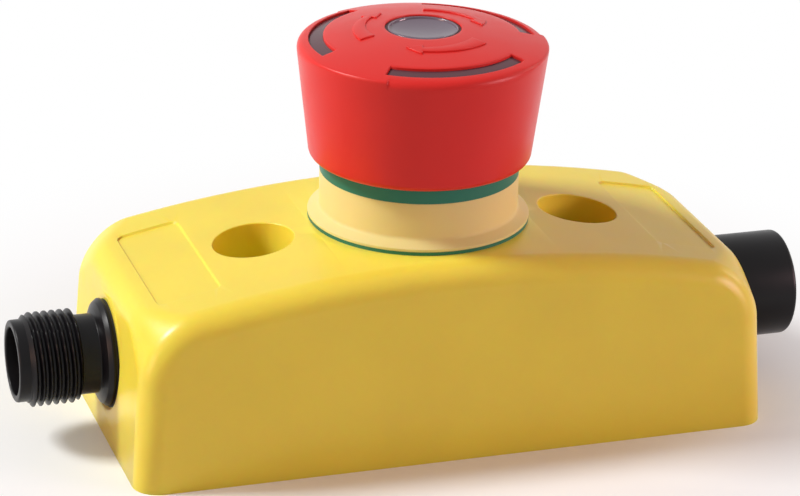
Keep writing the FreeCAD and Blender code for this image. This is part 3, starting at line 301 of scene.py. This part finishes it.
gilt = metal_finish("gilt", (0.83, 0.60, 0.25), roughness=0.22, scratch=0.1)
dress("plug_pins", gilt)
soften(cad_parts["plug_pins"], width=0.3, steps=4)
rubber = moulded_finish("black_rubber", (0.02, 0.02, 0.02), roughness=0.7, grain=0.12, depth=0.01, mottle=0.1)
SEAT = 41.1
GASKET_FACE = 41.48
GASKET_BORE = 5.6
GASKET_RADIUS = 6.75
LIP_RADIUS = 7.12
LIP_START, LIP_RAMP = 0.1, 0.2
LIP_DROP, LIP_MARGIN = 0.06, 0.02
WALL_FOOT = 42.0
WALL_LEAN = 0.0622


def gasket_loops(side):
    """A gasket's section round its axis: the lip widens where the leaning wall stands out past the seat."""
    wall = WALL_FOOT - WALL_LEAN * (CONNECTOR_HEIGHT + side * LIP_RADIUS * np.sin(turn))
    sunk = np.clip((wall - SEAT - LIP_START) / LIP_RAMP, 0, 1)
    lip = GASKET_RADIUS + (LIP_RADIUS - GASKET_RADIUS) * sunk
    edge = np.clip(wall - LIP_DROP, SEAT + LIP_MARGIN, GASKET_FACE - LIP_MARGIN)
    flat = np.ones_like(turn)
    seat, face = SEAT * flat, GASKET_FACE * flat
    inner, outer = GASKET_BORE * flat, GASKET_RADIUS * flat
    along = np.concatenate([seat, seat, edge, edge, face, face, seat])
    return along, np.concatenate([inner, lip, lip, outer, outer, inner, inner])


for name, side, node in (("plug_gasket", -1, "plug_seal"), ("socket_gasket", 1, "socket_seal")):
    along, radius = gasket_loops(side)
    ring = sleeve(along, radius, turn, side)
    make_piece(name, [ring], rubber, "housing", [node], 40)
nickel = metal_finish("nickel_steel", (0.62, 0.60, 0.57), roughness=0.28, scratch=0.15)
dress("plug_nut", nickel)

# Socket: smooth black sleeve at the other end, with the cordset's thread inside its mouth.
# The same glass-filled polyamide; the contact carrier stands in the middle of the ring-shaped mouth.
SOCKET_GROOVE = 0.45
SOCKET_RADIUS = 7.0
MOUTH, MOUTH_RADIUS = 51.4, 6.0
SOCKET_FLOOR = 43.0
SOCKET_BORE, CARRIER_BORE = 5.5, 4.2
RUN_OUT, RUN_OUT_LENGTH = 43.3, 1.2
MOUTH_SLOPE = 1.1
BEFORE_BORE = 6 * ARC_STEPS
socket_corners = [
    (SHANK_END, CARRIER_BORE, 0.1), (SHANK_END, SHANK_RADIUS, 0.3), (FLANGE_BACK, SHANK_RADIUS, 0),
    (FLANGE_BACK, SOCKET_RADIUS, 0.1), (MOUTH, SOCKET_RADIUS, 0.5), (MOUTH, MOUTH_RADIUS, 0.1),
    (SOCKET_FLOOR, SOCKET_BORE, 0), (SOCKET_FLOOR, CARRIER_BORE, 0.1),
]
loop = rounded_loop(socket_corners)
back, front = loop[:BEFORE_BORE], np.concatenate([loop[BEFORE_BORE:], loop[:1]])
lip_at, lip_radius = loop[BEFORE_BORE - 1]
thread_rows = int((MOUTH - SOCKET_FLOOR) / PITCH * THREAD_STEPS) + 1
rows = np.linspace(lip_at, SOCKET_FLOOR, thread_rows)[:, None]
runout = np.clip((rows - RUN_OUT) / RUN_OUT_LENGTH, 0, 1)
bore = SOCKET_BORE + SOCKET_GROOVE * runout * thread_groove(rows, turn)
bore = np.maximum(bore, lip_radius - (lip_at - rows) * MOUTH_SLOPE)
patches = [turned(back, 1), sleeve(rows, bore, turn, 1), turned(front, 1)]
make_piece("socket_sleeve", patches, black, "housing", ["socket_shell"], 30)
dress("socket_insert", carrier_black)
soften(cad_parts["socket_insert"], width=0.15, steps=2)
dress("socket_contacts", gilt)
dress("socket_nut", nickel)

# Collar: pale yellow bushing clamped through the roof by a nut, on a thin green gasket.
# Satin polycarbonate that lets a little light in; the green ring above it shows that the button is out.
CREAM = (0.83, 0.735, 0.31)
COLLAR_STEPS = 160
COLLAR_FOOT, COLLAR_TOP = 17.0, 32.2
COLLAR_BORE, COLLAR_SHANK, COLLAR_RADIUS = 8.5, 10.9, 12.81
FOOT_RADIUS, FOOT_HEIGHT = 14.28, 26.3
CUP_INNER, CUP_OUTER, CUP_TOP, CUP_FLOOR = 9.0, 11.2, 36.8, 33.0
GUIDE_BORE, GUIDE_RADIUS, GUIDE_END, GUIDE_TOP = 4.55, 6.8, 20.0, 28.5
SEAL_GROOVE, DETENT_GROOVE = 6.05, 5.75
cream = moulded_finish(
    "cream_polycarbonate", CREAM, roughness=0.45, grain=0.3, depth=0.004, mottle=0.02, mirror=0.2)
glow(cream, weight=0.3, reach=(1.6, 0.8, 0.3))
collar_corners = [
    (COLLAR_BORE, COLLAR_FOOT, 0.05), (COLLAR_SHANK, COLLAR_FOOT, 0.3), (COLLAR_SHANK, FOOT_HEIGHT, 0),
    (FOOT_RADIUS, FOOT_HEIGHT, 0.05), (FOOT_RADIUS, 26.65, 0.1), (COLLAR_RADIUS, 27.45, 0.6),
    (COLLAR_RADIUS, COLLAR_TOP, 0.08), (CUP_OUTER, COLLAR_TOP, 0), (CUP_OUTER, CUP_TOP, 0.15),
    (CUP_INNER, CUP_TOP, 0.15), (CUP_INNER, CUP_FLOOR, 0), (GUIDE_BORE, CUP_FLOOR, 0.2),
    (GUIDE_BORE, 32.0, 0), (SEAL_GROOVE, 32.0, 0), (SEAL_GROOVE, 30.2, 0), (GUIDE_BORE, 30.2, 0),
    (GUIDE_BORE, 24.0, 0), (DETENT_GROOVE, 24.0, 0), (DETENT_GROOVE, 22.8, 0), (GUIDE_BORE, 22.8, 0),
    (GUIDE_BORE, GUIDE_END, 0.1), (GUIDE_RADIUS, GUIDE_END, 0.1), (GUIDE_RADIUS, GUIDE_TOP, 0),
    (COLLAR_BORE, GUIDE_TOP, 0),
]


def column(values):
    """Values as one column of an array."""
    return np.array(values, float)[:, None]


def ring_points(radius, height, degrees):
    """Grid of points at radii and heights round the button's axis, one column for each angle."""
    angle = np.radians(degrees)[None]
    radius = radius + 0 * angle
    return np.stack([radius * np.cos(angle), radius * np.sin(angle), height + 0 * radius], axis=-1)


profile = rounded_loop(collar_corners)
profile = np.concatenate([profile, profile[:1]])
round_collar = np.linspace(0, 360, COLLAR_STEPS + 1)
bushing = ring_points(profile[:, :1], profile[:, 1:], round_collar)
make_piece("collar_body", [bushing], cream, "housing", ["collar"], 30)
GREEN = (0.022, 0.190, 0.122)
green = moulded_finish("green_polyamide", GREEN, roughness=0.4, grain=0.25, depth=0.005, mottle=0.05)
dress("collar_gasket", green)
dress("indicator_ring", green)
dress("collar_nut", nickel)
dress("stem_seal", rubber)
spring_steel = metal_finish("spring_steel", (0.50, 0.49, 0.48), roughness=0.3, scratch=0.12)
dress("detent_ring", spring_steel)

# Contact block: black switch body on the board under the collar, with fixed gilt contacts.
# The carrier with two bridges hangs on the stem's foot and opens both circuits when the button goes down.
dress("contact_block", carrier_black)
dress("fixed_contacts", gilt)
white_acetal = moulded_finish("white_acetal", (0.80, 0.80, 0.77), roughness=0.4, grain=0.2, depth=0.004)
dress("contact_carrier", white_acetal)
dress("contact_bridges", gilt)
dress("bridge_springs", spring_steel)

# Plunger: white stem with the light pipe in its bore, pushed up by a coil spring in the collar's cup.
# The spring is a wire helix, so it is drawn as a round section carried along the coil.
# The real spring shortens as the stem goes down; this one is drawn at a single length.
SPRING_FOOT = 33.05
SPRING_TOP = 39.95
SPRING_RADIUS = 7.0
SPRING_WIRE = 0.35
SPRING_TURNS = 4.0
SPRING_STEPS = 241
WIRE_STEPS = 12


def coil(radius, wire, turns, foot, top, steps):
    """Tube round a helix: its rings of points stand upright along the radius, and both ends close up."""
    share = np.linspace(0, 1, steps)[:, None]
    angle = 2 * np.pi * turns * share
    round_it = np.linspace(0, 2 * np.pi, WIRE_STEPS + 1)[None]
    section = wire * np.clip(np.minimum(share, 1 - share) * steps, 0, 1)
    reach = radius + section * np.cos(round_it)
    rise = foot + wire + (top - foot - 2 * wire) * share + section * np.sin(round_it)
    return np.stack([reach * np.cos(angle), reach * np.sin(angle), rise], axis=-1)


dress("plunger_stem", white_acetal)
clear = moulded_finish("clear_acrylic", (0.92, 0.94, 0.94), roughness=0.08, grain=0.3, depth=0.001)
clear.node_tree.nodes["Principled BSDF"].inputs["Transmission Weight"].default_value = 0.9
dress("light_pipe", clear)
dress("stem_clip", spring_steel)
wire = coil(SPRING_RADIUS, SPRING_WIRE, SPRING_TURNS, SPRING_FOOT, SPRING_TOP, SPRING_STEPS)
return_coil = make_piece(
    "return_coil", [wire], spring_steel, "housing", ["return_spring"], 60)
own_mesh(return_coil)

# Button: red mushroom cap that snaps over a hub turning on the stem.
# Polished polyamide with a soft sheen; three curved slots in the rim let the light guide's windows show.
RED = (0.74, 0.030, 0.026)
CAP_TOP = 51.45
DOME_RADIUS = 57.0
CAP_BASE = 34.28
CAP_BORE = 13.2
HUB_TOP = 45.4
CEILING = 47.3
CHAMBER = 14.5
LENS_HOLE = 4.86
SLOT_INNER = 12.62
SLOT_OUTER = 14.47
SLOT_START = 233.4
SLOT_SPAN = 79.0
SKIRT = np.array([14.35, 35.28])
RIM_CORNER = np.array([16.056, 49.14])
RIM_CRISP = 0.42
RIM_SOFT = 1.25
RIM_STEP = 2.5
RIM_RISE = 0.5
RIM_FADE_START, RIM_FADE = 60, 26
SIDE_REACH, DOME_REACH = 0.863, 0.964
SECTOR = 120
SKIRT_FLAT, SKIRT_ROUND = 0.35, 0.8
SIDE_TOP = 47.9


def dome(radius):
    """Height of the cap's domed top at a radius."""
    return CAP_TOP - DOME_RADIUS + np.sqrt(DOME_RADIUS ** 2 - radius ** 2)


def rim_softness(degrees):
    """Share from crisp to soft rim: it jumps up just past a slot's start and fades out past its end."""
    past = (degrees - SLOT_START - RIM_STEP) % SECTOR
    rise = np.clip(past / RIM_RISE, 0, 1)
    fall = np.clip((past - RIM_FADE_START) / RIM_FADE, 0, 1)
    return rise * (1 - fall * fall * (3 - 2 * fall))


def rim_curve(degrees):
    """Rim from the side up to the dome: a curve tangent to both, wider where the rim is soft."""
    side = SKIRT - RIM_CORNER
    side = side / np.linalg.norm(side)
    reach = SIDE_REACH * (RIM_CRISP + (RIM_SOFT - RIM_CRISP) * rim_softness(degrees))[None]
    share = np.linspace(0, 1, 9)[:, None]
    end_radius = RIM_CORNER[0] - DOME_REACH * reach
    start = [RIM_CORNER[axis] + side[axis] * reach for axis in (0, 1)]
    end = [end_radius, dome(end_radius)]
    first, middle, last = (1 - share) ** 2, 2 * share * (1 - share), share ** 2
    curve = [start[axis] * first + RIM_CORNER[axis] * middle + end[axis] * last for axis in (0, 1)]
    angle = np.radians(degrees)[None]
    return np.stack([curve[0] * np.cos(angle), curve[0] * np.sin(angle), curve[1] + 0 * angle], axis=-1)


step_lines = np.linspace(RIM_STEP, RIM_STEP + RIM_RISE, 3)
slot_lines = np.concatenate([[0, 1, 2], step_lines, np.linspace(4, SLOT_SPAN, 51)])
bridge_lines = np.concatenate([np.linspace(SLOT_SPAN, SECTOR - 0.5, 28), [SECTOR]])
sector = np.concatenate([slot_lines, bridge_lines[1:]])
around = SLOT_START + np.concatenate([sector[:-1] + SECTOR * step for step in range(3)] + [[360]])
bottom = np.linspace(0, np.pi / 2, 7)
skirt_radius = np.concatenate([[CAP_BORE], CAP_BORE + SKIRT_FLAT + SKIRT_ROUND * np.sin(bottom)])
skirt_height = np.concatenate([[CAP_BASE], CAP_BASE + 1 - np.cos(bottom)])
side_height = np.linspace(SKIRT[1], SIDE_TOP, 22)[1:]
flare = (RIM_CORNER[0] - SKIRT[0]) / (RIM_CORNER[1] - SKIRT[1])
side_radius = SKIRT[0] + (side_height - SKIRT[1]) * flare
outside = ring_points(column(np.concatenate([skirt_radius, side_radius])),
                      column(np.concatenate([skirt_height, side_height])), around)
rim = rim_curve(around)
shelf = column([14.85, 14.66, SLOT_OUTER])
shelf = ring_points(shelf, dome(shelf), around)
crown = column(np.linspace(SLOT_INNER, LENS_HOLE, 16))
inside = column([CEILING, CEILING, HUB_TOP, HUB_TOP, CAP_BASE])
patches = [np.concatenate([outside, rim, shelf])]
ceiling = ring_points(column([LENS_HOLE, SLOT_INNER]), CEILING, around)
patches.append(np.concatenate([ring_points(crown, dome(crown), around), ceiling]))
patches.append(ring_points(column([SLOT_OUTER, CHAMBER, CHAMBER, CAP_BORE, CAP_BORE]), inside, around))
for step in range(3):
    slot_at = SLOT_START + slot_lines + SECTOR * step
    bridge_at = SLOT_START + bridge_lines + SECTOR * step
    across = column(np.linspace(SLOT_OUTER, SLOT_INNER, 5))
    patches.append(ring_points(across, dome(across), bridge_at))
    patches.append(ring_points(column([SLOT_OUTER, SLOT_INNER]), CEILING, bridge_at))
    for radius in (SLOT_INNER, SLOT_OUTER):
        patches.append(ring_points(column([radius, radius]), column([dome(radius), CEILING]), slot_at))
    for angle in (slot_at[:1], slot_at[-1:]):
        top = ring_points(across, dome(across), angle)
        foot = ring_points(across, CEILING, angle)
        patches.append(np.concatenate([top, foot], axis=1))
red = moulded_finish("red_polyamide", RED, roughness=0.33, grain=0.25, depth=0.004, mirror=0.25)
cap = make_piece("cap", patches, red, "button_head", ["button_cap"], 40)
soften(cap, width=0.1, steps=2, clamp=False)
dress("head_hub", white_acetal)
dress("twist_spring", spring_steel)

# Release arrows: three raised arrows moulded on the cap, pointing the way it turns to release.
# Each is a shaft that tapers along an arc to a head with two short barbs, a fifth of a millimetre proud.
ARROW_RISE = 0.2
ARROW_TAIL = 312.0
ARROW_NECK = 251.5
ARROW_TIP = 235.5
ARROW_ROOT = 0.06
SHAFT_LINES, HEAD_LINES = 33, 10
TAIL_INNER, TAIL_OUTER = 7.05, 9.1
NECK_INNER, NECK_OUTER = 7.6, 8.65
BARB_INNER, BARB_OUTER = 6.9, 9.2
TIP_RADIUS = 7.7
neck_radii = [NECK_INNER, (NECK_INNER + NECK_OUTER) / 2, NECK_OUTER]
shares = (np.array(neck_radii) - BARB_INNER) / (BARB_OUTER - BARB_INNER)
head_shares = np.concatenate([[0, 0.15], shares, [0.88, 1]])[:, None]
patches = []
for step in range(3):
    shaft_at = np.linspace(ARROW_TAIL, ARROW_NECK, SHAFT_LINES) + SECTOR * step
    taper = np.linspace(0, 1, SHAFT_LINES)[None]
    low = TAIL_INNER + (NECK_INNER - TAIL_INNER) * taper
    high = TAIL_OUTER + (NECK_OUTER - TAIL_OUTER) * taper
    shaft = low + (high - low) * column([0, 0.5, 1])
    patches.append(ring_points(shaft, dome(shaft) + ARROW_RISE, shaft_at))
    head_at = np.linspace(ARROW_NECK, ARROW_TIP, HEAD_LINES) + SECTOR * step
    taper = np.linspace(0, 1, HEAD_LINES)[None]
    low = BARB_INNER + (TIP_RADIUS - BARB_INNER) * taper
    high = BARB_OUTER + (TIP_RADIUS - BARB_OUTER) * taper
    head = low + (high - low) * head_shares
    patches.append(ring_points(head, dome(head) + ARROW_RISE, head_at))
arrows = make_piece("release_arrows", patches, red, "button_head", [], 40)
upward = np.empty(len(arrows.data.polygons) * 3)
arrows.data.polygons.foreach_get("normal", upward)
if upward[2::3].mean() < 0:
    arrows.data.flip_normals()
thicken = arrows.modifiers.new("body", "SOLIDIFY")
thicken.thickness = (ARROW_RISE + ARROW_ROOT) * MM
thicken.offset = -1
soften(arrows, width=0.08, steps=2, clamp=False)

# Light guide and lens: smoke-grey polycarbonate under the cap that glows through the slots and the middle.
# The lens sits in a thin ring painted near black as the shade in the gap round it; its polished face is
# slightly dished.
SMOKE = (0.112, 0.048, 0.062)
LENS_GREY = (0.165, 0.135, 0.182)
# Painted shade: dark red-black that stands for the shadow in the gap round the lens.
GAP_SHADE_COLOUR = (0.05, 0.012, 0.014)
smoke = moulded_finish(
    "smoke_polycarbonate", SMOKE, roughness=0.22, grain=0.4, depth=0.004, mottle=0.08, mirror=0.2)
dress("window_ring", smoke)
LENS_RADIUS = 4.52
LENS_EDGE = 51.15
LENS_FOOT = 49.66
LENS_STEPS = 96
LIP = 0.14
LIP_FALL = 0.12
DISH, DISH_POWER, DISH_MARGIN = 0.55, 2.4, 0.04
bend = np.linspace(0, np.pi, 9)
lip_radius = LENS_RADIUS - LIP + LIP * np.cos(bend)
lip_height = LENS_EDGE - LIP + LIP * np.sin(bend)
dish_radius = np.linspace(LENS_RADIUS - 2 * LIP - DISH_MARGIN, 0, 20)
dish_height = LENS_EDGE - LIP - LIP_FALL - DISH * (1 - (dish_radius / dish_radius[0]) ** DISH_POWER)
lens_radius = column(np.concatenate([[0, LENS_RADIUS], lip_radius, dish_radius]))
lens_height = column(np.concatenate([[LENS_FOOT, LENS_FOOT], lip_height, dish_height]))
lens_grey = moulded_finish(
    "lens_polycarbonate", LENS_GREY, roughness=0.12, grain=0.5, depth=0.002, mottle=0.05, mirror=0.5)
lens = ring_points(lens_radius, lens_height, np.linspace(0, 360, LENS_STEPS + 1))
make_piece("lens", [lens], lens_grey, "button_head", ["center_lens"], 50)
# Painted shade: the ring round the lens is coloured near black to stand for the shadow in the narrow gap
# there.
painted_gap_shade = moulded_finish("painted_gap_shade", GAP_SHADE_COLOUR, roughness=0.5, grain=0.2, depth=0.004, mottle=0.05)
dress("lens_seal", painted_gap_shade)

# Studio: a pale floor, a soft lamp high on the left, and warm low lamps on the right, front and left.
# The floor takes the shadow near the part and goes over to plain white further off, for the camera alone.
FLOOR_REACH = 3.0
FLOOR_LINES = 9
FLOOR_BOUNCE = (0.50, 0.50, 0.50, 1)
FLOOR_SEEN = (0.93, 0.97, 1.0, 1)
SHADOW_NEAR, SHADOW_FAR = 0.025, 0.095
WORLD_COLOUR, WORLD_STRENGTH = (1.0, 0.75, 0.68, 1), 0.14
CAMERA_PLACE = (-0.12784, -0.37857, 0.18561)
FOCAL_LENGTH, SENSOR = 150.03, 36.0
SHIFT_X, SHIFT_Y = -0.0023, 0.0025
YAW, PITCH_DOWN, ROLL = 0.320841, 0.391450, 0.0272646


def seen_ray(nodes):
    """1 for rays from the camera and for what gloss and glass show, 0 for the light on the part."""
    path = nodes.new("ShaderNodeLightPath")
    seen = nodes.new("ShaderNodeMath")
    seen.operation = "MAXIMUM"
    link(nodes, path, "Is Camera Ray", seen, 0)
    link(nodes, path, "Is Glossy Ray", seen, 1)
    clear_seen = nodes.new("ShaderNodeMath")
    clear_seen.operation = "MAXIMUM"
    link(nodes, seen, 0, clear_seen, 0)
    link(nodes, path, "Is Transmission Ray", clear_seen, 1)
    return clear_seen


def lamp(name, place, size, power, colour, target=(0, 0, 0.02)):
    """Square soft lamp at a place, turned to the part."""
    light = bpy.data.lights.new(name, "AREA")
    light.size = size
    light.energy = power
    light.color = colour
    holder = bpy.data.objects.new(name, light)
    bpy.context.scene.collection.objects.link(holder)
    holder.location = place
    holder.rotation_euler = (Vector(target) - Vector(place)).to_track_quat("-Z", "Y").to_euler()


floor_finish = bpy.data.materials.new("pale_floor")
floor_finish.use_nodes = True
nodes = floor_finish.node_tree.nodes
nodes["Principled BSDF"].inputs["Roughness"].default_value = 0.8
nodes["Principled BSDF"].inputs["Specular IOR Level"].default_value = 0.1
white = nodes.new("ShaderNodeEmission")
shade = nodes.new("ShaderNodeMix")
shade.data_type = "RGBA"
shade.inputs["A"].default_value = FLOOR_BOUNCE
shade.inputs["B"].default_value = FLOOR_SEEN
link(nodes, seen_ray(nodes), 0, shade, "Factor")
link(nodes, shade, "Result", nodes["Principled BSDF"], "Base Color")
place = nodes.new("ShaderNodeTexCoord")
length = nodes.new("ShaderNodeVectorMath")
length.operation = "LENGTH"
link(nodes, place, "Object", length, 0)
fade = nodes.new("ShaderNodeMapRange")
fade.interpolation_type = "SMOOTHSTEP"
fade.inputs["From Min"].default_value = SHADOW_NEAR
fade.inputs["From Max"].default_value = SHADOW_FAR
link(nodes, length, "Value", fade, "Value")
share = nodes.new("ShaderNodeMath")
share.operation = "MULTIPLY"
link(nodes, fade, "Result", share, 0)
link(nodes, seen_ray(nodes), 0, share, 1)
blend = nodes.new("ShaderNodeMixShader")
link(nodes, share, 0, blend, 0)
link(nodes, nodes["Principled BSDF"], "BSDF", blend, 1)
link(nodes, white, "Emission", blend, 2)
link(nodes, blend, "Shader", nodes["Material Output"], "Surface")
edge = np.linspace(-FLOOR_REACH, FLOOR_REACH, FLOOR_LINES)
number = np.arange(FLOOR_LINES ** 2).reshape(FLOOR_LINES, FLOOR_LINES)
flat = np.stack([*np.meshgrid(edge, edge), 0.0 * number], axis=-1)
floor_mesh = bpy.data.meshes.new("floor")
corner = np.stack([number[:-1, :-1], number[:-1, 1:], number[1:, 1:], number[1:, :-1]], axis=-1)
floor_mesh.from_pydata(flat.reshape(-1, 3).tolist(), [], corner.reshape(-1, 4).tolist())
floor_mesh.materials.append(floor_finish)
floor = bpy.data.objects.new("floor", floor_mesh)
bpy.context.scene.collection.objects.link(floor)

world = bpy.data.worlds.new("studio")
bpy.context.scene.world = world
world.use_nodes = True
nodes = world.node_tree.nodes
nodes["Background"].inputs["Color"].default_value = WORLD_COLOUR
nodes["Background"].inputs["Strength"].default_value = WORLD_STRENGTH
backdrop = nodes.new("ShaderNodeBackground")
blend = nodes.new("ShaderNodeMixShader")
link(nodes, seen_ray(nodes), 0, blend, 0)
link(nodes, nodes["Background"], "Background", blend, 1)
link(nodes, backdrop, "Background", blend, 2)
link(nodes, blend, "Shader", nodes["World Output"], "Surface")
lamp("key", place=(-0.64, 0.22, 0.69), size=0.22, power=7.9, colour=(1.0, 0.99, 0.97))
lamp("fill", place=(0.80, 0.12, 0.34), size=0.30, power=0.9, colour=(1.0, 0.86, 0.74))
lamp("front", place=(0.82, -0.52, 0.28), size=0.40, power=5.2, colour=(1.0, 0.62, 0.66))
lamp("left", place=(-0.85, -0.13, 0.16), size=0.35, power=2.3, colour=(1.0, 0.56, 0.40))

ahead = Vector((math.sin(YAW), math.cos(YAW), 0))
forward = math.cos(PITCH_DOWN) * ahead - math.sin(PITCH_DOWN) * Vector((0, 0, 1))
level = Vector((math.cos(YAW), -math.sin(YAW), 0))
upright = level.cross(forward)
right = math.cos(ROLL) * level + math.sin(ROLL) * upright
up = math.cos(ROLL) * upright - math.sin(ROLL) * level
camera = bpy.data.objects.new("camera", bpy.data.cameras.new("camera"))
bpy.context.scene.collection.objects.link(camera)
camera.matrix_world = Matrix((right, up, -forward)).transposed().to_4x4()
camera.location = CAMERA_PLACE
camera.data.lens = FOCAL_LENGTH
camera.data.sensor_width = SENSOR
camera.data.shift_x = SHIFT_X
camera.data.shift_y = SHIFT_Y
camera.data.clip_start = 0.01
bpy.context.scene.camera = camera
bpy.context.scene.view_settings.view_transform = "Standard"
